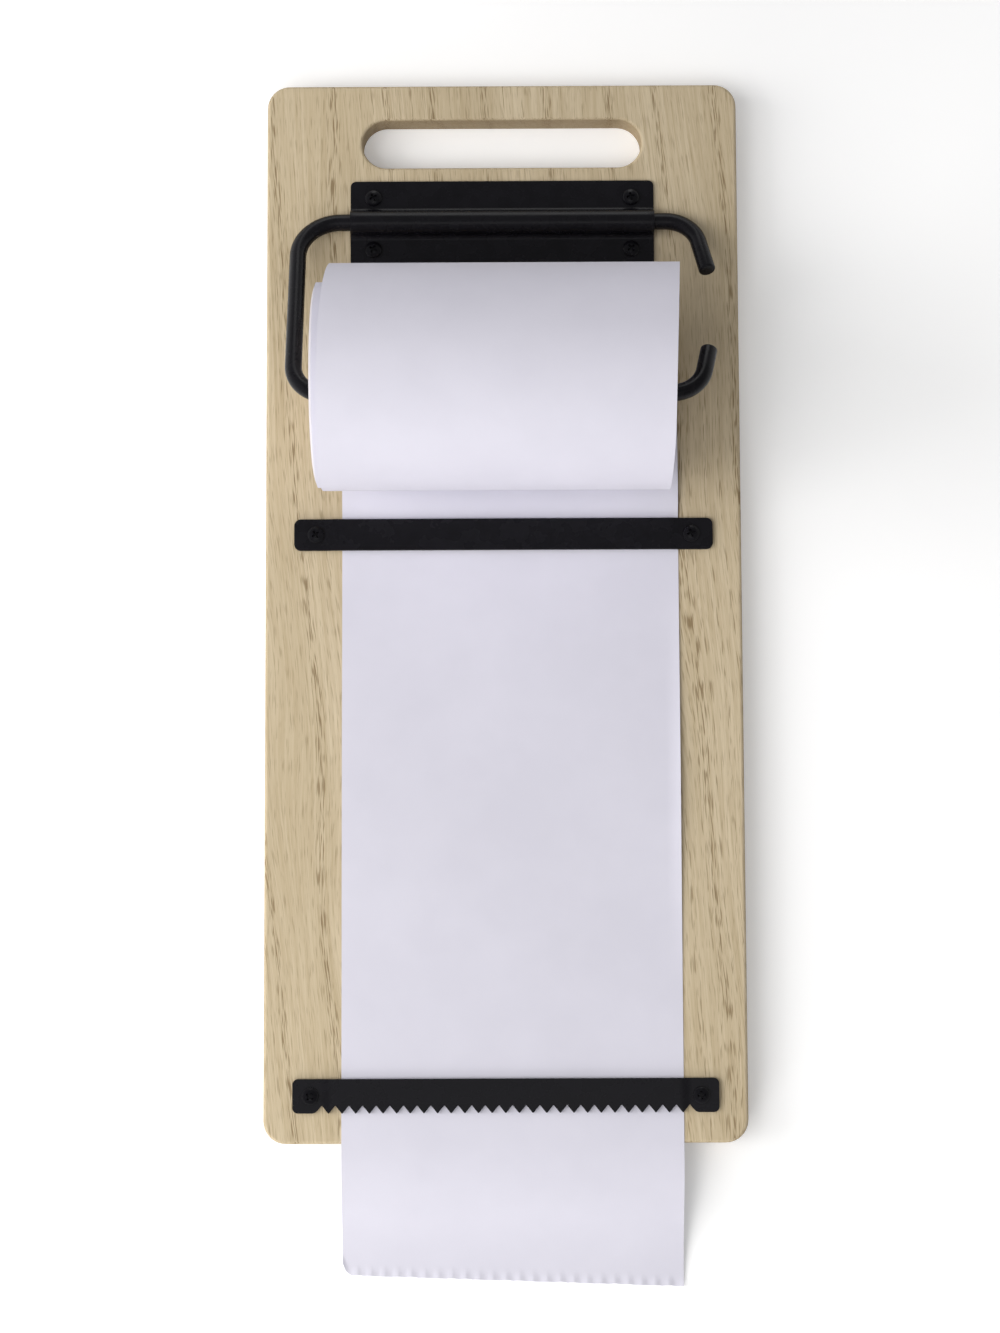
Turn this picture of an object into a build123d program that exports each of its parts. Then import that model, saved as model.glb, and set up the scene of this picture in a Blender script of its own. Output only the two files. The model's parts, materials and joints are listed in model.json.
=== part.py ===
from build123d import *
import os
from math import asin, atan, cos, degrees, floor, radians, sin, sqrt, tan

# Paper roll holder: a wooden board that carries a swinging wire arm with a roll of paper, a guide bar
# that keeps the drawn-off sheet flat, and a toothed bar to tear it on.
# Millimetres. The origin is the centre of the board's back face, X runs to the right, Y towards the
# handle slot and Z out of the front face.

# Paper
paper_width = 120.0
paper_thickness = 0.2
roll_radius = 35.5
roll_shift = -5.0  # the wound roll's middle along X
core_bore = 14.0
core_wall = 1.6

# Loose outer turn of the roll
wrap_slack = 3.4  # its radius over the wound roll's
wrap_start_angle = 200.0  # where it leaves the wound roll, from +Y towards +Z
wrap_end_angle = -80.0  # where it comes down to the board
wrap_shift = 0.3  # its middle along X
wrap_slope_y = 0.031  # how far it drifts along X for each millimetre of Y
wrap_slope_z = -0.053  # and of Z

# Sheet drawn off along the board
sheet_shift = 2.4  # its middle along X
tail_length = 47.5  # past the board's lower edge, at its middle
tail_slant = 5.0  # the torn end's right side lower than its left
tail_trim = 2.0  # cut away round the sheet's outline
tail_corner_radius = 4.0
tail_floor_gap = 0.4

# Board
board_length = 380.0
board_thickness = 12.0
board_corner_radius = 8.0
board_edge_chamfer = 0.8
slot_length = 101.0
slot_width = 17.6
slot_from_top = 21.65  # the slot's middle below the board's top edge

# Bracket
plate_thickness = 1.2
bracket_inset = 5.25  # each end inside the paper's width
bracket_corner_radius = 2.0
bracket_hole_inset = 8.25  # holes from the plate's ends
bracket_edge_margin = 6.25  # holes from the plate's long edges
pivot_from_top = 51.6  # the arm's axis below the board's top edge

# Wire arm
wire_diameter = 6.0
arm_length = 75.2  # between the axes of its two runs
upper_bend_radius = 15.0
bend_radius = 12.0
hook_room = 8.4  # the hooks' corners past the paper's width
hook_lean = 12.0  # outwards, in degrees
upper_hook_depth = 22.3
lower_hook_depth = 18.8
wire_end_chamfer = 0.7
roll_end_gap = 5.1  # between the wound roll and the arm's leg

# Guide bar and tear bar
bar_thickness = 1.5
bar_ramp_length = 1.0
bar_inset = 10.25  # bar ends from the board's sides
guide_bar_height = 11.3
guide_bar_from_top = 164.95  # its middle below the board's top edge
guide_bar_corner_radius = 2.4
guide_bar_hole_inset = 7.78
tear_bar_height = 11.9
tear_bar_from_bottom = 10.7  # tooth tips above the board's lower edge
tear_bar_corner_radius = 2.0
tear_bar_hole_inset = 6.25
tooth_pitch = 4.77
tooth_depth = 2.6
tooth_tip = 0.3  # flat width left on each tip
tooth_valley = 0.3  # and in each valley
tooth_room = 4.6  # teeth past each side of the paper

# Screws
screw_diameter = 3.0
screw_length = 9.0  # under the head
screw_head_diameter = 6.0
screw_head_height = 1.7
shank_sides = 8

# Clearances
hinge_clearance = 0.08  # wire in the bead
wire_board_gap = 0.2
sheet_board_gap = 0.05
sheet_bar_gap = 0.25
sheet_side_gap = 0.35
roll_sheet_gap = 0.3
rod_core_gap = 0.3
core_paper_gap = 0.05
wrap_roll_gap = 0.4
screw_hole_clearance = 0.2
screw_head_gap = 0.22
pilot_clearance = 0.05
pilot_tip_gap = 0.5

# Screw and bar sizes that follow
screw_radius = screw_diameter / 2
screw_head_radius = screw_head_diameter / 2
hole_radius = screw_radius + screw_hole_clearance
guide_pad_length = guide_bar_hole_inset + screw_head_radius + screw_head_gap
tear_pad_length = tear_bar_hole_inset + screw_head_radius + screw_head_gap
bar_raise = sheet_board_gap + paper_thickness + sheet_bar_gap
bar_length = paper_width + 2 * (abs(sheet_shift) + sheet_side_gap + bar_ramp_length + guide_pad_length)

# Board sizes that follow
board_width = bar_length + 2 * bar_inset
board_top = board_length / 2
board_bottom = -board_length / 2
slot_y = board_top - slot_from_top
guide_bar_y = board_top - guide_bar_from_top
tear_bar_y = board_bottom + tear_bar_from_bottom + tear_bar_height / 2

# Arm pivot and bracket sizes that follow
wire_radius = wire_diameter / 2
pivot_y = board_top - pivot_from_top
pivot_z = board_thickness + wire_board_gap + wire_radius
bead_middle_radius = wire_radius + hinge_clearance + plate_thickness / 2
plate_middle_z = board_thickness + plate_thickness / 2
flare_radius = pivot_z - plate_middle_z
flare_end = bead_middle_radius + flare_radius
bracket_width = paper_width - 2 * bracket_inset
bracket_hole_x = bracket_width / 2 - bracket_hole_inset
bracket_hole_y = flare_end + screw_head_radius + screw_head_gap
bracket_height = 2 * (bracket_hole_y + bracket_edge_margin)

# Sheet levels, roll axis and arm angle at rest: the roll lies on the sheet and the arm's lower run on
# the inside of its core, low and towards the guide bar
sheet_bottom = board_thickness + sheet_board_gap
sheet_middle = sheet_bottom + paper_thickness / 2
sheet_top = sheet_bottom + paper_thickness
core_bore_radius = core_bore / 2
core_radius = core_bore_radius + core_wall
rod_offset = (core_bore_radius - wire_radius - rod_core_gap) / sqrt(2)
roll_z = sheet_top + roll_sheet_gap + roll_radius
rod_z = roll_z - rod_offset
arm_angle = asin((rod_z - pivot_z) / arm_length)
rod_y = pivot_y - arm_length * cos(arm_angle)
roll_y = rod_y + rod_offset

# Loose turn: tangent to the sheet, and close to the wound roll where it leaves it
wrap_radius = roll_radius + wrap_slack + paper_thickness / 2
wrap_inner_radius = roll_radius + wrap_slack
wrap_z = sheet_middle + wrap_radius
wrap_start_z = wrap_z + wrap_inner_radius * sin(radians(wrap_start_angle))
wrap_start_reach = sqrt((roll_radius + wrap_roll_gap) ** 2 - (wrap_start_z - roll_z) ** 2)
wrap_y = roll_y - wrap_start_reach - wrap_inner_radius * cos(radians(wrap_start_angle))
wrap_end_y = wrap_y + wrap_radius * cos(radians(wrap_end_angle))

os.makedirs("parts", exist_ok=True)


def write_part(builder, name):
    """Label a finished piece and write it to its own file."""
    builder.part.label = name
    export_step(builder.part, f"parts/{name}.step")


# Places of the screws: centre along X and Y, and the level that the head seats on
bracket_seat = board_thickness + plate_thickness
bar_seat = board_thickness + bar_thickness
guide_hole_x = bar_length / 2 - guide_bar_hole_inset
tear_hole_x = bar_length / 2 - tear_bar_hole_inset
screw_places = {
    "bracket_screw_upper_left": (-bracket_hole_x, pivot_y + bracket_hole_y, bracket_seat),
    "bracket_screw_upper_right": (bracket_hole_x, pivot_y + bracket_hole_y, bracket_seat),
    "bracket_screw_lower_left": (-bracket_hole_x, pivot_y - bracket_hole_y, bracket_seat),
    "bracket_screw_lower_right": (bracket_hole_x, pivot_y - bracket_hole_y, bracket_seat),
    "guide_bar_screw_left": (-guide_hole_x, guide_bar_y, bar_seat),
    "guide_bar_screw_right": (guide_hole_x, guide_bar_y, bar_seat),
    "tear_bar_screw_left": (-tear_hole_x, tear_bar_y, bar_seat),
    "tear_bar_screw_right": (tear_hole_x, tear_bar_y, bar_seat),
}

# Board: rounded corners, eased edges, handle slot and a blind pilot hole for each screw
with BuildPart() as board:
    with BuildSketch():
        RectangleRounded(board_width, board_length, board_corner_radius)
        with Locations((0, slot_y)):
            SlotOverall(slot_length, slot_width, mode=Mode.SUBTRACT)
    extrude(amount=board_thickness)
    front_and_back = board.faces().filter_by(Axis.Z)
    chamfer(front_and_back.edges(), board_edge_chamfer)
    for x, y, seat in screw_places.values():
        pilot_bottom = seat - screw_length - pilot_tip_gap
        with BuildSketch(Plane.XY.offset(pilot_bottom)):
            with Locations((x, y)):
                Circle(screw_radius + pilot_clearance)
        extrude(amount=board_thickness - pilot_bottom, mode=Mode.SUBTRACT)
write_part(board, "board")

# Bracket: a plate of even thickness whose middle is pressed up into a half-round bead over the wire
with BuildPart() as roll_bracket:
    with BuildSketch(Plane.YZ.offset(-bracket_width / 2)):
        with BuildLine():
            lower_wing = Line(
                (pivot_y - bracket_height / 2, plate_middle_z), (pivot_y - flare_end, plate_middle_z)
            )
            lower_flare = JernArc(lower_wing @ 1, lower_wing % 1, flare_radius, 90)
            bead = JernArc(lower_flare @ 1, lower_flare % 1, bead_middle_radius, -180)
            upper_flare = JernArc(bead @ 1, bead % 1, flare_radius, 90)
            Line(upper_flare @ 1, (pivot_y + bracket_height / 2, plate_middle_z))
        trace(line_width=plate_thickness)
    extrude(amount=bracket_width)
    with BuildSketch(Plane.XY.offset(board_thickness)):
        with Locations((0, pivot_y)):
            RectangleRounded(bracket_width, bracket_height, bracket_corner_radius)
            with GridLocations(2 * bracket_hole_x, 2 * bracket_hole_y, 2, 2):
                Circle(hole_radius, mode=Mode.SUBTRACT)
    extrude(amount=pivot_z - board_thickness + bead_middle_radius + plate_thickness, mode=Mode.INTERSECT)
write_part(roll_bracket, "roll_bracket")

# Wire arm: one bent wire in a plane through the pivot, its upper run in the bead and its lower run in
# the roll's core, with two hooks that face each other across the open side
arm_plane = Plane(
    origin=(0, pivot_y, pivot_z), x_dir=(1, 0, 0), z_dir=(0, -sin(arm_angle), -cos(arm_angle))
)
leg_x = -(paper_width / 2 + abs(roll_shift) + roll_end_gap + wire_radius)
hook_x = paper_width / 2 + hook_room
hook_slope = tan(radians(hook_lean))
with BuildPart() as wire_arm:
    with BuildLine(arm_plane) as wire_path:
        FilletPolyline(
            (hook_x + upper_hook_depth * hook_slope, upper_hook_depth),
            (hook_x, 0),
            (leg_x, 0),
            (leg_x, arm_length),
            (hook_x, arm_length),
            (hook_x + lower_hook_depth * hook_slope, arm_length - lower_hook_depth),
            radius=[bend_radius, upper_bend_radius, bend_radius, bend_radius],
        )
    with BuildSketch(Plane(origin=wire_path.line @ 0, z_dir=wire_path.line % 0)):
        Circle(wire_radius)
    sweep()
    wire_ends = wire_arm.faces().filter_by(GeomType.PLANE)
    chamfer(wire_ends.edges(), wire_end_chamfer)
write_part(wire_arm, "wire_arm")


def bar_level(pad_length, height):
    """Points along a bar at one height over the board: flat pads at the ends, raised in between."""
    pad_x = bar_length / 2 - pad_length
    raised_x = pad_x - bar_ramp_length
    return [
        (-bar_length / 2, height),
        (-pad_x, height),
        (-raised_x, height + bar_raise),
        (raised_x, height + bar_raise),
        (pad_x, height),
        (bar_length / 2, height),
    ]


def bar_strip(pad_length, middle_y, width):
    """Plane and outline of a bar's long section, on the strip's upper side; the strip runs to -Y."""
    upper_edge = (0, middle_y + width / 2, board_thickness)
    section_plane = Plane(origin=upper_edge, x_dir=(1, 0, 0), z_dir=(0, -1, 0))
    outline = bar_level(pad_length, 0) + bar_level(pad_length, bar_thickness)[::-1]
    return section_plane, outline


# Guide bar: a flat strip, raised between its pads by the sheet's thickness and its clearances
guide_plane, guide_outline = bar_strip(guide_pad_length, guide_bar_y, guide_bar_height)
with BuildPart() as guide_bar:
    with BuildSketch(guide_plane):
        with BuildLine():
            Polyline(guide_outline, close=True)
        make_face()
    extrude(amount=guide_bar_height)
    with BuildSketch(Plane.XY.offset(board_thickness)):
        with Locations((0, guide_bar_y)):
            RectangleRounded(bar_length, guide_bar_height, guide_bar_corner_radius)
            with GridLocations(2 * guide_hole_x, 0, 2, 1):
                Circle(hole_radius, mode=Mode.SUBTRACT)
    extrude(amount=bar_raise + bar_thickness, mode=Mode.INTERSECT)
write_part(guide_bar, "guide_bar")

# Tear bar: the same strip with a row of teeth along its lower edge, wider than the paper
tooth_count = floor((paper_width + 2 * tooth_room) / tooth_pitch)
notch_half_width = (tooth_pitch - tooth_tip) / 2
with BuildSketch() as notch:
    with BuildLine():
        Polyline(
            (-notch_half_width, 0),
            (notch_half_width, 0),
            (tooth_valley / 2, tooth_depth),
            (-tooth_valley / 2, tooth_depth),
            close=True,
        )
    make_face()

tear_plane, tear_outline = bar_strip(tear_pad_length, tear_bar_y, tear_bar_height)
with BuildPart() as tear_bar:
    with BuildSketch(tear_plane):
        with BuildLine():
            Polyline(tear_outline, close=True)
        make_face()
    extrude(amount=tear_bar_height)
    with BuildSketch(Plane.XY.offset(board_thickness)):
        with Locations((0, tear_bar_y)):
            RectangleRounded(bar_length, tear_bar_height, tear_bar_corner_radius)
            with GridLocations(2 * tear_hole_x, 0, 2, 1):
                Circle(hole_radius, mode=Mode.SUBTRACT)
        with Locations((0, tear_bar_y - tear_bar_height / 2)):
            with GridLocations(tooth_pitch, 0, tooth_count + 1, 1):
                add(notch.sketch, mode=Mode.SUBTRACT)
    extrude(amount=bar_raise + bar_thickness, mode=Mode.INTERSECT)
write_part(tear_bar, "tear_bar")

# Screws: low round heads, and shanks that are kept to a few sides under the plates
for screw_name, (screw_x, screw_y, seat) in screw_places.items():
    seat_plane = Plane((screw_x, screw_y, seat))
    with BuildPart() as screw:
        with BuildSketch(seat_plane):
            Circle(screw_head_radius)
        extrude(amount=screw_head_height)
        with BuildSketch(seat_plane):
            RegularPolygon(screw_radius, shank_sides)
        extrude(amount=-screw_length)
    write_part(screw, screw_name)

# Card core and the paper wound on it
with BuildPart() as roll_core:
    with BuildSketch(Plane.YZ.offset(roll_shift - paper_width / 2)):
        with Locations((roll_y, roll_z)):
            Circle(core_radius)
            Circle(core_bore_radius, mode=Mode.SUBTRACT)
    extrude(amount=paper_width)
write_part(roll_core, "roll_core")

with BuildPart() as paper_roll:
    with BuildSketch(Plane.YZ.offset(roll_shift - paper_width / 2)):
        with Locations((roll_y, roll_z)):
            Circle(roll_radius)
            Circle(core_radius + core_paper_gap, mode=Mode.SUBTRACT)
    extrude(amount=paper_width)
write_part(paper_roll, "paper_roll")

# Loose outer turn: a thin open ring of paper, cut at both ends along planes that follow its drift
drift_normal = Vector(1, -wrap_slope_y, -wrap_slope_z)
left_end = Plane(origin=(wrap_shift - paper_width / 2, wrap_y, wrap_z), z_dir=drift_normal)
right_end = Plane(origin=(wrap_shift + paper_width / 2, wrap_y, wrap_z), z_dir=drift_normal)
with BuildPart() as loose_wrap:
    with BuildSketch(Plane.YZ.offset(wrap_shift - paper_width)):
        with BuildLine():
            CenterArc((wrap_y, wrap_z), wrap_radius, wrap_end_angle, wrap_start_angle - wrap_end_angle)
        trace(line_width=paper_thickness)
    extrude(amount=2 * paper_width)
    split(bisect_by=left_end, keep=Keep.TOP)
    split(bisect_by=right_end, keep=Keep.BOTTOM)
write_part(loose_wrap, "loose_wrap")

# Drawn-off sheet: flat on the board, then two equal bends down to the table, with a slanted torn end
tail_drop = sheet_middle - tail_floor_gap - paper_thickness / 2
tail_run = tail_length + abs(tail_slant) / 2 + tail_trim
tail_bend_angle = 2 * atan(tail_drop / tail_run)
tail_bend_radius = tail_run / (2 * sin(tail_bend_angle))
sheet_left = sheet_shift - paper_width / 2
sheet_right = sheet_shift + paper_width / 2
with BuildPart() as paper_sheet:
    with BuildSketch(Plane.YZ.offset(sheet_left - tail_trim)):
        with BuildLine():
            flat = Line((wrap_end_y, sheet_middle), (board_bottom, sheet_middle))
            over_edge = JernArc(flat @ 1, flat % 1, tail_bend_radius, degrees(tail_bend_angle))
            JernArc(over_edge @ 1, over_edge % 1, tail_bend_radius, -degrees(tail_bend_angle))
        trace(line_width=paper_thickness)
    extrude(amount=paper_width + 2 * tail_trim)
    with BuildSketch() as sheet_outline:
        with BuildLine():
            Polyline(
                (sheet_left, wrap_end_y + tail_trim),
                (sheet_left, board_bottom - tail_length + tail_slant / 2),
                (sheet_right, board_bottom - tail_length - tail_slant / 2),
                (sheet_right, wrap_end_y + tail_trim),
                close=True,
            )
        make_face()
        left_corners = sheet_outline.vertices().group_by(Axis.X)[0]
        fillet(left_corners.sort_by(Axis.Y)[0], tail_corner_radius)
    extrude(amount=board_thickness + tail_trim, mode=Mode.INTERSECT)
write_part(paper_sheet, "paper_sheet")
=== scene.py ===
import json
from math import acos, asin, atan, cos, degrees, hypot, pi, radians, sin, sqrt, tan

import bmesh
import bpy
from mathutils import Matrix, Vector


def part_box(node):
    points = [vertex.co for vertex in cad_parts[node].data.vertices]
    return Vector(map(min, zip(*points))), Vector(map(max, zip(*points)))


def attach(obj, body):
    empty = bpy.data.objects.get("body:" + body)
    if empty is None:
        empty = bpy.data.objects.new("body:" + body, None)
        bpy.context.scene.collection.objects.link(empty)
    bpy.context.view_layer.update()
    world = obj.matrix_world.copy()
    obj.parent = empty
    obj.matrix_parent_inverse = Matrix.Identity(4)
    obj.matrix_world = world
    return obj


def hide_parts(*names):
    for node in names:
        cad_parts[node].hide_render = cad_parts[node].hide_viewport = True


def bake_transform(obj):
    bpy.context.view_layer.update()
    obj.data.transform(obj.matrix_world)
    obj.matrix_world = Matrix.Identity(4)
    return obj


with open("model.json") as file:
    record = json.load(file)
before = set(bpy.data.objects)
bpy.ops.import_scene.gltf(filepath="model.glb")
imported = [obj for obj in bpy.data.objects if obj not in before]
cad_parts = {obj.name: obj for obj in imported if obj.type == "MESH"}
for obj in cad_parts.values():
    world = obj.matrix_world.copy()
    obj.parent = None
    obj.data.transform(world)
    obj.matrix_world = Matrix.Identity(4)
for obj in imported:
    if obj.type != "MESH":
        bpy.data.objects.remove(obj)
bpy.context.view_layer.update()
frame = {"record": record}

# Paper roll holder: the looks of a wooden board that carries a roll of paper on a black wire arm, with a
# black guide bar and a black toothed bar over the drawn-off sheet. Metres, in the frame of the solids.

# Places that the solids give
board_low, board_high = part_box("board")
board_thickness = board_high.z - board_low.z
bracket_low, bracket_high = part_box("roll_bracket")
guide_low, guide_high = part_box("guide_bar")
tear_low, tear_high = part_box("tear_bar")
roll_low, roll_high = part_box("paper_roll")
core_low, core_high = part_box("roll_core")
wrap_low, wrap_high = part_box("loose_wrap")
sheet_low, sheet_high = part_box("paper_sheet")
joints = {joint["name"]: joint for joint in frame["record"]["behaviour"]["joints"]}
pivot = Vector(joints["arm_swing"]["pos_m"])
roll_axis = Vector(joints["roll_spin"]["pos_m"])

# Board
board_corner_radius = 0.008
board_edge_radius = 0.0011
slot_length = 0.101
slot_width = 0.0176
slot_from_top = 0.02165

# Bracket
plate_thickness = 0.0012
plate_edge_radius = 0.0002
bracket_corner_radius = 0.002
bracket_hole_inset = 0.00825
bracket_hole_edge = 0.00625
hinge_clearance = 0.00008

# Wire arm
wire_radius = 0.003
wire_end_radius = 0.0007
arm_length = 0.0752
lower_run_height = 0.045434  # of the run that carries the roll
arm_angle = asin((lower_run_height - pivot.z) / arm_length)
upper_bend_radius = 0.015
bend_radius = 0.012
leg_x = -0.0731
hook_x = 0.0684
hook_lean = 12.0  # degrees
upper_hook_depth = 0.0223
lower_hook_depth = 0.0188

# Guide bar and tear bar
bar_thickness = 0.0015
bar_edge_radius = 0.00022
bar_raise = 0.0005
bar_ramp_length = 0.0045
bar_pad_reach = 0.00322  # of a pad, past its screw's middle
guide_corner_radius = 0.0024
guide_hole_inset = 0.00778
tear_corner_radius = 0.002
tear_hole_inset = 0.00625
tear_edge_radius = 0.00012
tooth_count = 27
tooth_pitch = 0.00477
tooth_depth = 0.0026
tooth_tip = 0.0003
tooth_valley = 0.0003
tooth_shoulder = 0.0013  # the easing of the pads' inner corners

# Screws
screw_head_radius = 0.003
screw_head_height = 0.0017
screw_rim_height = 0.0006
screw_rim_share = 0.8  # of the rim's height, where its upright side ends
screw_dome_share = 0.95  # of the head's radius
screw_seat_ease = 0.0001
screw_radius = 0.0015
screw_length = 0.009
screw_point_length = 0.002
screw_point_share = 0.15  # of the thread's radius, left at the tip
screw_hole_radius = 0.0017
thread_depth = 0.00032
thread_pitch = 0.0012
recess_length = 0.0035
recess_width = 0.0009
recess_depth = 0.00105
recess_floor_share = 0.55  # of the recess's outline
recess_mouth_share = 1.12
recess_overreach = 0.0005  # of the cutter, over the head

# Paper and core, with angles in degrees
paper_thickness = 0.0002
core_wall = 0.0016
core_clearance = 0.00005
wrap_shift = 0.0003
wrap_slope_y = 0.031
wrap_slope_z = -0.053
wrap_start_angle = 200.0
wrap_end_angle = -80.0
wrap_lip_angle = 262  # of its front edge, low on the wound roll
wrap_lip_gap = 0.6  # of the paper's thickness
wrap_lift_turn = 25.0  # over which it leaves the wound roll
wrap_pull = 0.0015  # how far its front edge is pulled to the left
wrap_pull_start = 125.0
wrap_pull_turn = 65.0
sheet_arch = 0.0018  # before the guide bar
swell_height = 0.0009  # between the bars
swell_below_guide = 0.01
swell_above_tear = 0.035
edge_curl = 0.0006
edge_curl_width = 0.005
tail_length = 0.0486
tail_slant = 0.0043
tail_corner_radius = 0.004
tail_run = 0.052
tail_rest = 0.0005  # the height of its end over the floor
tear_mark_depth = 0.0004
crease_length = 0.0034
crease_height = 0.001

# Floor, surround and camera
floor_half = 4.0
floor_drop = 0.0003
floor_tone = (0.97, 0.97, 0.975)
floor_glow = (0.2, 1.0)  # near the object and far from it
floor_glow_reach = (0.35, 1.0)  # from the middle
surround_light = 0.265
backdrop_tone = (1.0, 0.3)  # low down and high up
backdrop_reach = (0.08, 0.5)  # sines of the height over the horizon
camera_lens = 74.27  # mm
camera_sensor = 36  # mm
camera_near = 0.01
camera_place = (0.00172, -0.1197, 0.98577)
camera_turn = (0.0997, 0.0032, -0.0043)  # radians


# Outlines


def arc(centre, radius, start, end, steps):
    """Points on a circle from one angle to another, in degrees, with both ends."""
    angles = [radians(start + (end - start) * step / steps) for step in range(steps + 1)]
    return [(centre[0] + radius * cos(angle), centre[1] + radius * sin(angle)) for angle in angles]


def rounded_rectangle(centre, width, height, radius, steps=10):
    """A closed outline with round corners, anticlockwise; one with no straight sides is a circle."""
    across = width / 2 - radius
    up = height / 2 - radius
    loop = []
    for x, y, start in ((across, -up, -90), (across, up, 0), (-across, up, 90), (-across, -up, 180)):
        loop += arc((centre[0] + x, centre[1] + y), radius, start, start + 90, steps)
    same = 1e-7
    return [point for i, point in enumerate(loop) if (Vector(point) - Vector(loop[i - 1])).length > same]


def circle(centre, radius):
    """A closed round outline."""
    return rounded_rectangle(centre, 2 * radius, 2 * radius, radius)


def full_circle(sides):
    """Even angles round a circle."""
    return [2 * pi * side / sides for side in range(sides)]


def smooth_step(share):
    """A share held between 0 and 1, and eased at both."""
    share = min(max(share, 0), 1)
    return share * share * (3 - 2 * share)


def eased(before, corner, after, steps=5):
    """A corner drawn as a short curve from one point to another."""
    parts = [step / steps for step in range(steps + 1)]
    return [
        tuple((1 - t) ** 2 * a + 2 * t * (1 - t) * b + t * t * c for a, b, c in zip(before, corner, after))
        for t in parts
    ]


def filleted(points, radii, steps=14):
    """A path through points whose inner corners are arcs of the given radii."""
    path = [Vector(points[0])]
    for before, corner, after, radius in zip(points, points[1:], points[2:], radii):
        corner = Vector(corner)
        back = (Vector(before) - corner).normalized()
        ahead = (Vector(after) - corner).normalized()
        half = acos(back.dot(ahead)) / 2
        centre = corner + (back + ahead).normalized() * radius / sin(half)
        start = corner + back * radius / tan(half) - centre
        end = corner + ahead * radius / tan(half) - centre
        turn = start.angle_signed(end)
        path += [centre + Matrix.Rotation(-turn * step / steps, 2) @ start for step in range(steps + 1)]
    return path + [Vector(points[-1])]


# Meshes


def new_mesh(name, points, faces):
    """A mesh from points and faces, with its faces turned outwards."""
    mesh = bpy.data.meshes.new(name)
    mesh.from_pydata([tuple(point) for point in points], [], faces)
    form = bmesh.new()
    form.from_mesh(mesh)
    bmesh.ops.recalc_face_normals(form, faces=form.faces)
    form.to_mesh(mesh)
    form.free()
    return mesh


def skin(name, rings, closed=False):
    """A mesh over rings of points, one after another, whose ends are capped or joined to each other."""
    count = len(rings[0])
    faces = []
    for i in range(len(rings) - (0 if closed else 1)):
        here = i * count
        there = (i + 1) % len(rings) * count
        for j in range(count):
            k = (j + 1) % count
            faces.append((here + j, here + k, there + k, there + j))
    if not closed:
        faces.append(tuple(range(count)))
        faces.append(tuple(range((len(rings) - 1) * count, len(rings) * count)))
    return new_mesh(name, [point for ring in rings for point in ring], faces)


def thin_sheet(name, rows, thickness):
    """A closed sheet of even thickness about a grid of points."""
    last_row = len(rows) - 1
    last_column = len(rows[0]) - 1
    upper = []
    lower = []
    for i, row in enumerate(rows):
        for j, point in enumerate(row):
            along = rows[min(i + 1, last_row)][j] - rows[max(i - 1, 0)][j]
            across = row[min(j + 1, last_column)] - row[max(j - 1, 0)]
            offset = along.cross(across).normalized() * thickness / 2
            upper.append(point + offset)
            lower.append(point - offset)
    width = last_column + 1
    total = len(upper)
    faces = []
    for i in range(last_row):
        for j in range(last_column):
            corner = i * width + j
            face = (corner, corner + 1, corner + width + 1, corner + width)
            faces.append(face)
            faces.append(tuple(index + total for index in reversed(face)))
    border = list(range(width))
    border += [i * width + last_column for i in range(1, last_row + 1)]
    border += [last_row * width + j for j in range(last_column - 1, -1, -1)]
    border += [i * width for i in range(last_row - 1, 0, -1)]
    for here, there in zip(border, border[1:] + border[:1]):
        faces.append((here, there, there + total, here + total))
    return new_mesh(name, upper + lower, faces)


def plate(name, loops, thickness, edge_radius):
    """A flat plate about z = 0 with rounded rims, from closed outlines; inner ones are holes."""
    curve = bpy.data.curves.new(name, "CURVE")
    curve.dimensions = "2D"
    curve.fill_mode = "BOTH"
    curve.extrude = thickness / 2 - edge_radius
    curve.bevel_depth = edge_radius
    curve.bevel_resolution = 3
    curve.offset = -edge_radius
    for loop in loops:
        spline = curve.splines.new("POLY")
        spline.points.add(len(loop) - 1)
        for point, (x, y) in zip(spline.points, loop):
            point.co = (x, y, 0, 1)
        spline.use_cyclic_u = True
    holder = bpy.data.objects.new(name, curve)
    mesh = bpy.data.meshes.new_from_object(holder)
    bpy.data.objects.remove(holder)
    bpy.data.curves.remove(curve)
    mesh.materials.clear()
    return mesh


def press(mesh, axis, cuts, place):
    """Join a mesh's close points, cut it across one axis and move each point (x, y, z) to place(x, y, z)."""
    close = 1e-6
    on_plane = 1e-7
    normal = Vector((axis == "X", axis == "Y", 0))
    form = bmesh.new()
    form.from_mesh(mesh)
    bmesh.ops.remove_doubles(form, verts=form.verts, dist=close)
    for cut in cuts:
        everything = form.verts[:] + form.edges[:] + form.faces[:]
        bmesh.ops.bisect_plane(form, geom=everything, dist=on_plane, plane_co=normal * cut, plane_no=normal)
    bmesh.ops.remove_doubles(form, verts=form.verts, dist=2 * close)
    bmesh.ops.dissolve_degenerate(form, dist=close, edges=form.edges)
    for vertex in form.verts:
        vertex.co = place(*vertex.co)
    bmesh.ops.recalc_face_normals(form, faces=form.faces)
    form.to_mesh(mesh)
    form.free()
    return mesh


def add_piece(name, mesh, material, nodes, body=None, sharp_angle=40):
    """Show a mesh as a piece that stands for some of the solids and rides on a body."""
    mesh.materials.append(material)
    mesh.shade_smooth()
    mesh.set_sharp_from_angle(angle=radians(sharp_angle))
    made = bpy.data.objects.new(name, mesh)
    bpy.context.collection.objects.link(made)
    if body:
        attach(made, body)
    if nodes:
        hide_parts(*nodes)
    return made


def add_plate(name, mesh, material, node):
    """Show a plate on the board, its level faces shaded flat so that its round rims don't tint them."""
    level = 0.99996
    add_piece(name, mesh, material, [node], "board")
    for face in mesh.polygons:
        if abs(face.normal.z) > level:
            face.use_smooth = False


# Materials


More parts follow.
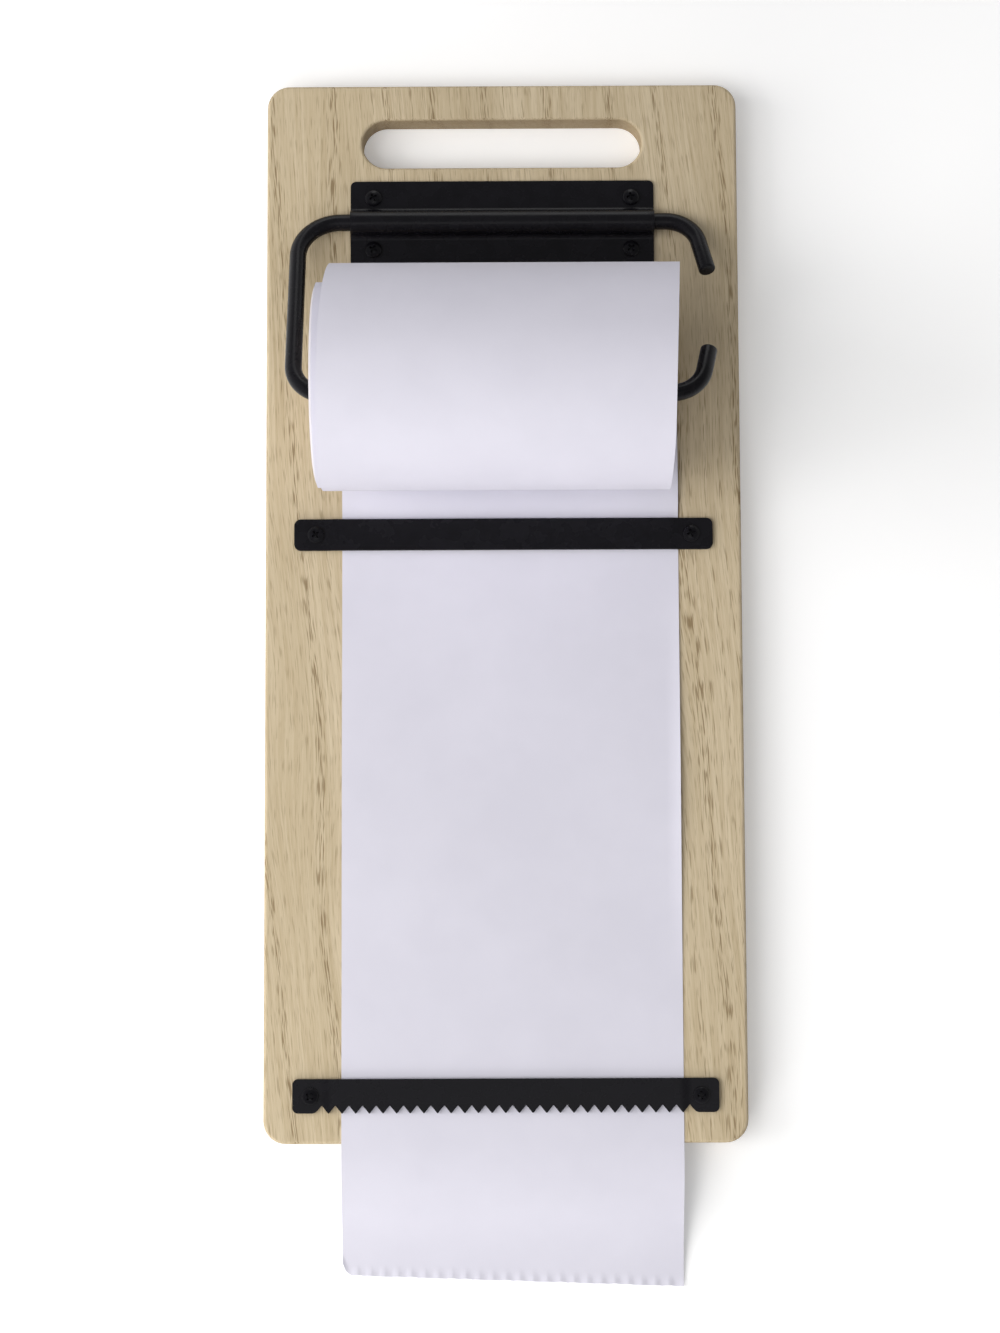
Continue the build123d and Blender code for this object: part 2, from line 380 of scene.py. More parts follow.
def new_material(name, **values):
    """A material with its shader's plain values set; gives its node tree and shader."""
    made = bpy.data.materials.new(name)
    made.use_nodes = True
    shader = made.node_tree.nodes["Principled BSDF"]
    for socket, value in values.items():
        shader.inputs[socket.replace("_", " ")].default_value = value
    return made, made.node_tree, shader


def add_node(tree, kind, inputs=None, **settings):
    """Add a node with its settings, and set or link its inputs by name or number."""
    made = tree.nodes.new(kind)
    for setting, value in settings.items():
        setattr(made, setting, value)
    for socket, value in (inputs or {}).items():
        if isinstance(value, bpy.types.NodeSocket):
            tree.links.new(value, made.inputs[socket])
        else:
            made.inputs[socket].default_value = value
    return made


def noise(tree, place, scale, stretch=(1, 1, 1), detail=2.0, roughness=0.5):
    """Noise of a size in metres, drawn out along the axes."""
    scales = [1 / (scale * share) for share in stretch]
    mapped = add_node(tree, "ShaderNodeMapping", {"Vector": place, "Scale": scales})
    made = add_node(
        tree,
        "ShaderNodeTexNoise",
        {"Vector": mapped.outputs["Vector"], "Scale": 1.0, "Detail": detail, "Roughness": roughness},
    )
    return made.outputs["Fac"]


def wave(tree, place, period):
    """Even bands across X, of a period in metres; at scale 1 the node draws 10 / pi bands in a metre."""
    made = add_node(
        tree, "ShaderNodeTexWave", {"Vector": place, "Scale": pi / 10 / period}, bands_direction="X"
    )
    return made.outputs["Fac"]


def ramp(tree, value, low, high, to_low=0.0, to_high=1.0):
    """A value taken from one range to another, held at its ends."""
    made = add_node(
        tree,
        "ShaderNodeMapRange",
        {"Value": value, "From Min": low, "From Max": high, "To Min": to_low, "To Max": to_high},
    )
    return made.outputs["Result"]


def combine(tree, operation, first, second=0.0):
    """Two values put together, or one changed."""
    made = add_node(tree, "ShaderNodeMath", {0: first, 1: second}, operation=operation)
    return made.outputs["Value"]


def mix(tree, factor, first, second):
    """Two colours mixed by a factor."""
    made = add_node(tree, "ShaderNodeMix", {"Factor": factor}, data_type="RGBA")
    colour_a, colour_b, mixed = made.inputs[6], made.inputs[7], made.outputs[2]
    for socket, colour in ((colour_a, first), (colour_b, second)):
        if isinstance(colour, bpy.types.NodeSocket):
            tree.links.new(colour, socket)
        else:
            socket.default_value = (*colour, 1)
    return mixed


def bump(tree, shader, height, distance, strength):
    """Give a shader a bumpy surface from a height of 0 to 1."""
    made = add_node(tree, "ShaderNodeBump", {"Height": height, "Distance": distance, "Strength": strength})
    tree.links.new(made.outputs["Normal"], shader.inputs["Normal"])


def object_place(tree):
    """The place on the piece itself, in metres."""
    return add_node(tree, "ShaderNodeTexCoord").outputs["Object"]


def from_roll_axis(tree, place):
    """A place's X, and its Y and Z from the roll's axis."""
    parts = add_node(tree, "ShaderNodeSeparateXYZ", {"Vector": place}).outputs
    y = combine(tree, "SUBTRACT", parts["Y"], roll_axis.y)
    z = combine(tree, "SUBTRACT", parts["Z"], roll_axis.z)
    return parts["X"], y, z


def facing(tree, axis):
    """How squarely a surface faces along an axis, either way, from 0 to 1."""
    normal = add_node(tree, "ShaderNodeNewGeometry").outputs["True Normal"]
    part = add_node(tree, "ShaderNodeSeparateXYZ", {"Vector": normal}).outputs[axis]
    return combine(tree, "ABSOLUTE", part)


def wood_material():
    """Pale open-pored wood, its grain along Y with a slight slant."""
    grain_slant = -4
    wander_width, wander_reach = 0.035, 0.006
    patch_width, tone_width = 0.05, 0.014
    wide_ring, fine_ring = 0.0196, 0.0053
    pore_width, fibre_width = 0.0004, 0.0009
    pale_tone, tan_tone = (0.68, 0.572, 0.402), (0.61, 0.505, 0.342)
    fibre_tone, pore_tone = (0.47, 0.37, 0.225), (0.22, 0.148, 0.07)
    # The sides' tone: partly the sawn edges' own colour, partly painted shade.
    cut_and_shade_tone = (0.27, 0.18, 0.085)
    relief_depth = 0.0001

    made, tree, shader = new_material("board_wood", Specular_IOR_Level=0.3)
    slanted = {"Vector": object_place(tree), "Rotation": (0, 0, radians(grain_slant))}
    grain = add_node(tree, "ShaderNodeMapping", slanted).outputs["Vector"]
    wander = noise(tree, grain, wander_width, (1, 5, 1), 1.0)
    reach = ramp(tree, wander, 0.2, 0.8, -wander_reach, wander_reach)
    push = add_node(tree, "ShaderNodeCombineXYZ", {"X": reach}).outputs["Vector"]
    wavy = add_node(tree, "ShaderNodeVectorMath", {0: grain, 1: push}, operation="ADD").outputs["Vector"]
    patches = noise(tree, grain, patch_width, (1, 3, 1), 1.0)
    wide_rings = ramp(tree, wave(tree, wavy, wide_ring), 0.90, 1.0)
    fine_rings = ramp(tree, wave(tree, wavy, fine_ring), 0.80, 1.0, 0.0, 0.6)
    fine_rings = combine(tree, "MULTIPLY", fine_rings, ramp(tree, patches, 0.42, 0.58))
    band = combine(tree, "MAXIMUM", wide_rings, fine_rings)
    pore_field = noise(tree, wavy, pore_width, (1, 20, 1), 1.0)
    gathered = combine(tree, "ADD", pore_field, ramp(tree, band, 0.0, 1.0, 0.0, 0.08))
    strength = ramp(tree, band, 0.0, 1.0, 0.36, 0.82)
    pores = combine(tree, "MULTIPLY", ramp(tree, gathered, 0.56, 0.70), strength)
    fibre = noise(tree, wavy, fibre_width, (1, 55, 1), 4.0, 0.75)
    tone = noise(tree, wavy, tone_width, (1, 10, 1))
    pale = mix(tree, ramp(tree, tone, 0.3, 0.7), pale_tone, tan_tone)
    fibred = mix(tree, ramp(tree, fibre, 0.36, 0.68, 0.0, 0.75), pale, fibre_tone)
    faced = mix(tree, pores, fibred, pore_tone)
    # Sides that don't face up or down, such as the handle slot's walls, are painted darker: partly the sawn
    # edges' own tone, partly painted shade.
    cut_and_shaded_side = ramp(tree, facing(tree, "Z"), 0.2, 0.8, 0.5, 0.0)
    colour = mix(tree, cut_and_shaded_side, faced, cut_and_shade_tone)
    tree.links.new(colour, shader.inputs["Base Color"])
    tree.links.new(ramp(tree, fibre, 0.2, 0.8, 0.62, 0.78), shader.inputs["Roughness"])
    relief = combine(tree, "SUBTRACT", ramp(tree, fibre, 0.2, 0.8, 0.0, 0.4), pores)
    bump(tree, shader, relief, relief_depth, 0.5)
    return made


def coat_material(name, colour, grain_size, strength):
    """Black powder coat: a fine pebbled skin whose gloss varies a little."""
    cloud_width = 0.006
    lighter = 1.35
    pebble_depth = 0.00003

    made, tree, shader = new_material(name, Specular_IOR_Level=0.16)
    place = object_place(tree)
    pebble = noise(tree, place, grain_size)
    cloud = noise(tree, place, cloud_width, detail=3.0)
    shade = mix(tree, ramp(tree, cloud, 0.3, 0.7), colour, [part * lighter for part in colour])
    tree.links.new(shade, shader.inputs["Base Color"])
    tree.links.new(ramp(tree, cloud, 0.3, 0.7, 0.22, 0.32), shader.inputs["Roughness"])
    bump(tree, shader, pebble, pebble_depth, strength)
    return made


# Colours that the sheets and the roll share
paper_light = (0.725, 0.712, 0.80)
paper_shade = (0.70, 0.688, 0.775)


def paper_material():
    """Uncoated paper: faint clouds and fibres, and a dull surface."""
    cloud_width, fibre_width = 0.022, 0.0006
    fibre_depth = 0.00002

    made, tree, shader = new_material("sheet_paper", Roughness=0.85, Specular_IOR_Level=0.25)
    place = object_place(tree)
    cloud = noise(tree, place, cloud_width, detail=3.0)
    fibre = noise(tree, place, fibre_width, (1, 1.6, 1), 3.0)
    clouded = mix(tree, ramp(tree, cloud, 0.35, 0.65), paper_light, paper_shade)
    colour = mix(tree, ramp(tree, fibre, 0.3, 0.8, 0.0, 0.2), clouded, paper_shade)
    tree.links.new(colour, shader.inputs["Base Color"])
    bump(tree, shader, fibre, fibre_depth, 0.35)
    return made


def roll_material():
    """The wound roll: paper on its round side, and the edges of its turns as fine rings on its ends."""
    turn_width, group_width, fibre_width = 0.00035, 0.003, 0.0006
    # The ends' tone is partly the cut edges' own colour and partly painted shade.
    end_and_shade_tone, line_tone, group_tone = (0.60, 0.555, 0.55), (0.46, 0.425, 0.42), (0.57, 0.53, 0.525)
    turn_depth = 0.00012

    made, tree, shader = new_material("roll_paper", Roughness=0.85, Specular_IOR_Level=0.25)
    place = object_place(tree)
    _, y, z = from_roll_axis(tree, place)
    flat = add_node(tree, "ShaderNodeCombineXYZ", {"X": y, "Y": z}).outputs["Vector"]
    radius = add_node(tree, "ShaderNodeVectorMath", {0: flat}, operation="LENGTH").outputs["Value"]
    along_radius = add_node(tree, "ShaderNodeCombineXYZ", {"X": radius}).outputs["Vector"]
    turns = noise(tree, along_radius, turn_width, detail=3.0, roughness=0.65)
    groups = noise(tree, along_radius, group_width)
    on_end = ramp(tree, facing(tree, "X"), 0.3, 0.7)
    lines = combine(tree, "MULTIPLY", ramp(tree, turns, 0.38, 0.66), on_end)
    broad = combine(tree, "MULTIPLY", ramp(tree, groups, 0.35, 0.7, 0.0, 0.5), on_end)
    fibre = noise(tree, place, fibre_width, detail=3.0)
    paper = mix(tree, ramp(tree, fibre, 0.3, 0.8, 0.0, 0.5), paper_light, paper_shade)
    # The ends facing along the axis are painted darker and warmer: partly the cut edges' own tone, partly
    # painted shade that holds down their brightness under the lights.
    cut = mix(tree, on_end, paper, end_and_shade_tone)
    lined = mix(tree, lines, cut, line_tone)
    colour = mix(tree, broad, lined, group_tone)
    tree.links.new(colour, shader.inputs["Base Color"])
    bump(tree, shader, combine(tree, "MULTIPLY", turns, on_end), turn_depth, 0.6)
    return made


def card_material():
    """Brown card of the core, with its wound seam."""
    fleck_width, cloud_width = 0.0007, 0.006
    seam_pitch, seam_share = 0.045, 0.02
    pale_tone, brown_tone = (0.40, 0.295, 0.185), (0.34, 0.245, 0.15)
    fleck_tone, seam_tone = (0.22, 0.15, 0.09), (0.16, 0.11, 0.065)
    fleck_depth = 0.00005

    made, tree, shader = new_material("core_card", Roughness=0.8, Specular_IOR_Level=0.25)
    place = object_place(tree)
    fleck = noise(tree, place, fleck_width, detail=4.0, roughness=0.7)
    cloud = noise(tree, place, cloud_width)
    x, y, z = from_roll_axis(tree, place)
    turned = combine(tree, "DIVIDE", combine(tree, "ARCTAN2", z, y), 2 * pi)
    winding = combine(tree, "ADD", turned, combine(tree, "DIVIDE", x, seam_pitch))
    seam = combine(tree, "LESS_THAN", combine(tree, "FRACT", winding), seam_share)
    base = mix(tree, ramp(tree, cloud, 0.3, 0.7), pale_tone, brown_tone)
    flecked = mix(tree, ramp(tree, fleck, 0.5, 0.75, 0.0, 0.6), base, fleck_tone)
    colour = mix(tree, seam, flecked, seam_tone)
    tree.links.new(colour, shader.inputs["Base Color"])
    bump(tree, shader, fleck, fleck_depth, 0.5)
    return made


wood = wood_material()
coat = coat_material("black_coat", (0.0058, 0.0055, 0.0072), 0.00035, 0.2)
screw_coat = coat_material("black_screw", (0.0042, 0.004, 0.0054), 0.0003, 0.12)
sheet_paper = paper_material()
wound_paper = roll_material()
card = card_material()


# Board


def make_board():
    """The board with its handle slot and softly rounded edges."""
    middle = (board_low + board_high) / 2
    width = board_high.x - board_low.x
    length = board_high.y - board_low.y
    outline = rounded_rectangle((middle.x, middle.y), width, length, board_corner_radius)
    slot_middle = (middle.x, board_high.y - slot_from_top)
    slot = rounded_rectangle(slot_middle, slot_length, slot_width, slot_width / 2, steps=16)
    mesh = plate("wood_board", [outline, slot], board_thickness, board_edge_radius)
    press(mesh, "X", [], lambda x, y, z: Vector((x, y, z + middle.z)))
    add_plate("wood_board", mesh, wood, "board")


make_board()


# Bracket


def make_bracket():
    """The pressed plate: two wings, two flares and a half-round bead, of one thickness."""
    bead_radius = wire_radius + hinge_clearance + plate_thickness / 2
    plate_z = board_high.z + plate_thickness / 2
    flare_radius = pivot.z - plate_z
    bead_end = bead_radius * pi / 2
    flare_end = bead_end + flare_radius * pi / 2
    wing_reach = bead_radius + flare_radius
    width = bracket_high.x - bracket_low.x
    half_height = (bracket_high.y - bracket_low.y) / 2
    half_length = flare_end + half_height - wing_reach
    hole_x = width / 2 - bracket_hole_inset
    hole_s = half_length - bracket_hole_edge
    loops = [rounded_rectangle((0, 0), width, 2 * half_length, bracket_corner_radius)]
    loops += [circle((x, s), screw_hole_radius) for x in (-hole_x, hole_x) for s in (-hole_s, hole_s)]

    def place(x, s, lift):
        side = -1 if s < 0 else 1
        run = abs(s)
        if run <= bead_end:
            turn = run / bead_radius
            spot = (bead_radius * sin(turn), pivot.z + bead_radius * cos(turn))
            normal = (sin(turn), cos(turn))
        elif run <= flare_end:
            turn = (run - bead_end) / flare_radius
            spot = (wing_reach - flare_radius * cos(turn), pivot.z - flare_radius * sin(turn))
            normal = (cos(turn), sin(turn))
        else:
            spot = (wing_reach + run - flare_end, plate_z)
            normal = (0, 1)
        return Vector((x, pivot.y + side * (spot[0] + normal[0] * lift), spot[1] + normal[1] * lift))

    bead_steps = 16
    flare_steps = 8
    turns = [bead_end * step / bead_steps for step in range(1, bead_steps + 1)]
    turns += [bead_end + (flare_end - bead_end) * step / flare_steps for step in range(1, flare_steps + 1)]
    cuts = [0, *turns, *[-turn for turn in turns]]
    mesh = plate("pressed_bracket", loops, plate_thickness, plate_edge_radius)
    press(mesh, "Y", cuts, place)
    add_plate("pressed_bracket", mesh, coat, "roll_bracket")


make_bracket()


# Wire arm


def make_wire():
    """One bent wire with an open side between two hooks, swept along its path."""
    hook_slope = tan(radians(hook_lean))
    points = [
        (hook_x + upper_hook_depth * hook_slope, upper_hook_depth),
        (hook_x, 0),
        (leg_x, 0),
        (leg_x, arm_length),
        (hook_x, arm_length),
        (hook_x + lower_hook_depth * hook_slope, arm_length - lower_hook_depth),
    ]
    path = filleted(points, [bend_radius, upper_bend_radius, bend_radius, bend_radius])
    out = Vector((0, sin(arm_angle), cos(arm_angle)))
    sides = 28

    def ring(spot, direction, radius):
        across = Vector((-direction.y, direction.x))
        centre = Vector((spot.x, pivot.y - spot.y * cos(arm_angle), pivot.z + spot.y * sin(arm_angle)))
        sideways = Vector((across.x, -across.y * cos(arm_angle), across.y * sin(arm_angle)))
        return [centre + radius * (cos(a) * sideways + sin(a) * out) for a in full_circle(sides)]

    rings = []
    for i, spot in enumerate(path):
        before = path[max(i - 1, 0)]
        after = path[min(i + 1, len(path) - 1)]
        rings.append(ring(spot, (after - before).normalized(), wire_radius))
    first = (path[1] - path[0]).normalized()
    last = (path[-1] - path[-2]).normalized()
    rings[0] = ring(path[0] + first * wire_end_radius, first, wire_radius)
    rings[-1] = ring(path[-1] - last * wire_end_radius, last, wire_radius)
    end_steps = 5
    for step in range(1, end_steps + 1):
        turn = pi / 2 * step / end_steps
        inset = wire_end_radius * (1 - sin(turn))
        radius = wire_radius - wire_end_radius * (1 - cos(turn))
        rings.insert(0, ring(path[0] + first * inset, first, radius))
        rings.append(ring(path[-1] - last * inset, last, radius))
    add_piece("bent_wire", skin("bent_wire", rings), coat, ["wire_arm"], "arm")


make_wire()


# Guide bar and tear bar


def add_bar(name, node, outline, edge_radius, half_length, middle_y, hole_inset):
    """Show a bar with two screw holes: flat pads on the board, and the stretch between them raised."""
    hole_x = half_length - hole_inset
    pad_x = half_length - (hole_inset + bar_pad_reach)
    raised_x = pad_x - bar_ramp_length

    def place(x, y, z):
        lift = bar_raise * smooth_step((pad_x - abs(x)) / bar_ramp_length)
        return Vector((x, y, board_high.z + bar_thickness / 2 + z + lift))

    steps = 6
    cuts = [pad_x + (raised_x - pad_x) * step / steps for step in range(steps + 1)]
    loops = [outline] + [circle((x, middle_y), screw_hole_radius) for x in (-hole_x, hole_x)]
    mesh = plate(name, loops, bar_thickness, edge_radius)
    press(mesh, "X", cuts + [-cut for cut in cuts], place)
    add_plate(name, mesh, coat, node)


def make_guide_bar():
    """The flat bar that keeps the sheet down."""
    half_length = guide_high.x
    middle_y = (guide_low.y + guide_high.y) / 2
    height = guide_high.y - guide_low.y
    outline = rounded_rectangle((0, middle_y), 2 * half_length, height, guide_corner_radius)
    add_bar("guide_strip", "guide_bar", outline, bar_edge_radius, half_length, middle_y, guide_hole_inset)


def make_tear_bar():
    """The bar with teeth along its lower edge, between two pads with eased inner corners."""
    half_length = tear_high.x
    middle_y = (tear_low.y + tear_high.y) / 2
    half_height = (tear_high.y - tear_low.y) / 2
    corner_steps = 8
    corner_x = half_length - tear_corner_radius
    corner_y = half_height - tear_corner_radius
    half_notch = (tooth_pitch - tooth_tip) / 2
    outer_notch = tooth_count * tooth_pitch / 2
    slope = Vector((half_notch - tooth_valley / 2, tooth_depth)).normalized() * tooth_shoulder
    outline = arc((corner_x, middle_y + corner_y), tear_corner_radius, 0, 90, corner_steps)
    outline += arc((-corner_x, middle_y + corner_y), tear_corner_radius, 90, 180, corner_steps)
    outline += arc((-corner_x, middle_y - corner_y), tear_corner_radius, 180, 270, corner_steps)
    for notch in range(tooth_count + 1):
        x = -outer_notch + notch * tooth_pitch
        left = (x - half_notch, tear_low.y)
        right = (x + half_notch, tear_low.y)
        if notch == 0:
            shoulder = (left[0] - tooth_shoulder, left[1])
            outline += eased(shoulder, left, (left[0] + slope.x, left[1] + slope.y))
        else:
            outline.append(left)
        outline.append((x - tooth_valley / 2, tear_low.y + tooth_depth))
        outline.append((x + tooth_valley / 2, tear_low.y + tooth_depth))
        if notch == tooth_count:
            shoulder = (right[0] + tooth_shoulder, right[1])
            outline += eased((right[0] - slope.x, right[1] + slope.y), right, shoulder)
        else:
            outline.append(right)
    outline += arc((corner_x, middle_y - corner_y), tear_corner_radius, 270, 360, corner_steps)
    add_bar("tear_strip", "tear_bar", outline, tear_edge_radius, half_length, middle_y, tear_hole_inset)


make_guide_bar()
make_tear_bar()


# Screws


def screw_mesh():
    """A low domed screw with a cross recess and a thread, its head's seat at z = 0."""
    sides = 32
    angles = full_circle(sides)
    dome_rise = screw_head_height - screw_rim_height
    dome_radius = (screw_head_radius ** 2 + dome_rise ** 2) / (2 * dome_rise)
    rings = []

    def add_ring(radius, z):
        rings.append([Vector((radius * cos(a), radius * sin(a), z)) for a in angles])

    dome_steps = 12
    for step in range(1, dome_steps + 1):
        radius = screw_head_radius * screw_dome_share * step / dome_steps
        add_ring(radius, screw_head_height - dome_radius + sqrt(dome_radius ** 2 - radius ** 2))
    add_ring(screw_head_radius, screw_rim_height * screw_rim_share)
    add_ring(screw_head_radius, screw_seat_ease)
    add_ring(screw_head_radius - screw_seat_ease, 0)
    add_ring(screw_radius, 0)
    steps_per_turn = 6
    thread_steps = round(screw_length / thread_pitch * steps_per_turn)
    for step in range(1, thread_steps + 1):
        z = -screw_length * step / thread_steps
        fade = min(1, (screw_length + z) / screw_point_length)
        ring = []
        for angle in angles:
            phase = (z / thread_pitch + angle / (2 * pi)) % 1
            radius = screw_radius - thread_depth * abs(2 * phase - 1)
            radius *= screw_point_share + (1 - screw_point_share) * fade
            ring.append(Vector((radius * cos(angle), radius * sin(angle), z)))
        rings.append(ring)
    body = bpy.data.objects.new("screw_body", skin("screw_body", rings))

    half = recess_length / 2
    wing = recess_width / 2
    quarter = [(half, -wing), (half, wing), (wing, wing)]
    cross = []
    for turn in range(4):
        spin = Matrix.Rotation(turn * pi / 2, 2)
        cross += [spin @ Vector(point) for point in quarter]
    ends = (
        (recess_floor_share, screw_head_height - recess_depth),
        (recess_mouth_share, screw_head_height + recess_overreach),
    )
    cutter_rings = [[Vector((*point * size, z)) for point in cross] for size, z in ends]
    cutter = bpy.data.objects.new("screw_recess", skin("screw_recess", cutter_rings))
    for part in (body, cutter):
        bpy.context.collection.objects.link(part)
    cut = body.modifiers.new("recess", "BOOLEAN")
    cut.operation = "DIFFERENCE"
    cut.solver = "EXACT"
    cut.object = cutter
    bpy.context.view_layer.update()
    mesh = bpy.data.meshes.new_from_object(body.evaluated_get(bpy.context.evaluated_depsgraph_get()))
    for part in (body, cutter):
        spent = part.data
        bpy.data.objects.remove(part)
        bpy.data.meshes.remove(spent)
    mesh.name = "cross_screw"
    return press(mesh, "X", [], lambda *point: Vector(point))


def make_screws():
    """The eight screws, each turned its own way."""
    turns = {
        "bracket_screw_upper_left": 28,
        "bracket_screw_upper_right": 12,
        "bracket_screw_lower_left": 61,
        "bracket_screw_lower_right": 40,
        "guide_bar_screw_left": 35,
        "guide_bar_screw_right": 20,
        "tear_bar_screw_left": 52,
        "tear_bar_screw_right": 8,
    }
    shared = screw_mesh()
    for node, turn in turns.items():
        low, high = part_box(node)
        mesh = shared.copy()
        seat = ((low.x + high.x) / 2, (low.y + high.y) / 2, high.z - screw_head_height)
        mesh.transform(Matrix.Translation(seat) @ Matrix.Rotation(radians(turn), 4, "Z"))
        name = node.replace("screw", "cross_screw")
        add_piece(name, mesh, screw_coat, [node], "board", sharp_angle=30)
    bpy.data.meshes.remove(shared)


make_screws()


# Roll and core


def lathe(name, profile, sides):
    """A mesh turned about the roll's axis from a closed profile of (x, radius)."""
    angles = full_circle(sides)
    rings = [
        [Vector((x, roll_axis.y + radius * cos(a), roll_axis.z + radius * sin(a))) for a in angles]
        for x, radius in profile
    ]
    return skin(name, rings, closed=True)


def make_roll():
    """The wound paper, whose turns stand a little unevenly at both ends and slip inwards at the rims."""
    outer = (roll_high.y - roll_low.y) / 2
    inner = (core_high.y - core_low.y) / 2 + core_clearance
    sides = 112
    turns = 48
    turn_gap = 0.12  # of a turn's thickness
    unevenness = 0.00012
    rim_width = 0.0024
    rim_recess = 0.0009
    radii = [inner + (outer - inner) * turn / turns for turn in range(turns + 1)]
    right = []
    for turn in range(turns):
        gap = (radii[turn + 1] - radii[turn]) * turn_gap
        rim = max(0, 1 - (outer - radii[turn + 1]) / rim_width)
        stray = sin(2.3 * turn) + 0.8 * sin(5.1 * turn + 1)
        height = unevenness * stray - rim_recess * rim ** 2
        right += [(height, radii[turn] + gap), (height, radii[turn + 1] - gap)]
    reach = 2 * unevenness
    profile = [(roll_high.x - reach + height, radius) for height, radius in right]
    profile += [(roll_low.x + reach - height, radius) for height, radius in reversed(right)]
    mesh = lathe("wound_roll", profile, sides)
    add_piece("wound_roll", mesh, wound_paper, ["paper_roll"], "roll", sharp_angle=50)


def make_core():
    """The card tube, with soft rims."""
    outer = (core_high.y - core_low.y) / 2
    inner = outer - core_wall
    soft = 0.0003
    sides = 64
    left, right = core_low.x, core_high.x
    profile = [
        (left + soft, inner), (right - soft, inner), (right, inner + soft), (right, outer - soft),
        (right - soft, outer), (left + soft, outer), (left, outer - soft), (left, inner + soft),
    ]
    mesh = lathe("card_core", profile, sides)
    add_piece("card_core", mesh, card, ["roll_core"], "roll", sharp_angle=50)


make_roll()
make_core()


# Paper off the roll

paper_width = sheet_high.x - sheet_low.x
wrap_radius = (wrap_high.y - wrap_low.y - paper_thickness) / 2
wrap_y = (wrap_low.y + wrap_high.y) / 2
wrap_z = wrap_high.z - paper_thickness / 2 - wrap_radius
roll_radius = (roll_high.y - roll_low.y) / 2
sheet_level = sheet_high.z - paper_thickness / 2
sheet_shift = (sheet_low.x + sheet_high.x) / 2


def wrap_drift(y, z):
    """How far along X the loose turn's middle lies at a place on it."""
    return wrap_shift + wrap_slope_y * (y - wrap_y) + wrap_slope_z * (z - wrap_z)


def wrap_spot(angle):
    """The loose turn's middle line at an angle on its own circle, in degrees from +Y towards +Z."""
    y = wrap_y + wrap_radius * cos(radians(angle))
    z = wrap_z + wrap_radius * sin(radians(angle))
    pulled = wrap_pull * smooth_step((angle - wrap_pull_start) / wrap_pull_turn)
    return y, z, wrap_drift(y, z) - pulled


def cross_rows(spots):
    """Rows of points across the paper, one for each spot (y, z, middle along X)."""
    columns = 24
    shares = [column / columns - 0.5 for column in range(columns + 1)]
    return [[Vector((middle + paper_width * share, y, z)) for share in shares] for y, z, middle in spots]


def make_wrap():
    """The loose outer turn, which leaves the wound roll low on its front and goes over it to the board."""
    start_y, start_z, start_middle = wrap_spot(wrap_start_angle)
    leave_angle = degrees(atan((start_z - roll_axis.z) / (start_y - roll_axis.y))) + 180
    leave_radius = hypot(start_y - roll_axis.y, start_z - roll_axis.z)
    close_radius = roll_radius + wrap_lip_gap * paper_thickness
    lip_step = 2
    spots = []
    for angle in range(wrap_lip_angle, round(leave_angle) + 1, -lip_step):
        away = max(0, 1 - (angle - leave_angle) / wrap_lift_turn) ** 2
        radius = close_radius + (leave_radius - close_radius) * away
        y = roll_axis.y + radius * cos(radians(angle))
        z = roll_axis.z + radius * sin(radians(angle))
        spots.append((y, z, start_middle))
    steps = 140
    for step in range(steps + 1):
        spots.append(wrap_spot(wrap_start_angle + (wrap_end_angle - wrap_start_angle) * step / steps))
    mesh = thin_sheet("loose_turn", cross_rows(spots), paper_thickness)
    turn = add_piece("loose_turn", mesh, sheet_paper, ["loose_wrap"], "arm", sharp_angle=60)


def make_web():
    """The short stretch of paper between the loose turn and the sheet, which joins the two."""
    steps = 36
    lowest_angle = -90
    spots = []
    for step in range(steps + 1):
        share = step / steps
        y, z, middle = wrap_spot(wrap_end_angle + (lowest_angle - wrap_end_angle) * share)
        spots.append((y, z, middle + (sheet_shift - middle) * share))
    mesh = thin_sheet("paper_web", cross_rows(spots), paper_thickness)
    web = add_piece("paper_web", mesh, sheet_paper, [], sharp_angle=60)
    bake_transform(web)
    return web


def sheet_height(x, y):
    """How far the sheet stands off the board before the guide bar and between the bars."""
    behind_bar = (y - guide_high.y) / (wrap_y - guide_high.y)
    if behind_bar > 0:
        to_one = 27 / 4  # takes the arch's top to 1
        return sheet_arch * to_one * behind_bar * (1 - behind_bar) ** 2
    upper_end = guide_low.y - swell_below_guide
    lower_end = tear_high.y + swell_above_tear
    if not lower_end < y < upper_end:
        return 0
    held = sin(pi * (y - lower_end) / (upper_end - lower_end))
    swell = 0.5 + 0.3 * sin(52 * x + 38 * y + 0.6) + 0.2 * sin(-31 * x + 74 * y + 2.0)
    curl = max(0, 1 - (sheet_high.x - x) / edge_curl_width) ** 2
    return held * (swell_height * swell + edge_curl * curl)


def tail_level(reach):
    """The sheet's height past the board's lower edge, where two equal bends take it down to the floor."""
    drop = sheet_level - tail_rest
    radius = tail_run / (2 * sin(2 * atan(drop / tail_run)))
    if reach <= tail_run / 2:
        return sheet_level - radius + sqrt(radius ** 2 - reach ** 2)
    return sheet_level - drop + radius - sqrt(radius ** 2 - max(tail_run - reach, 0) ** 2)


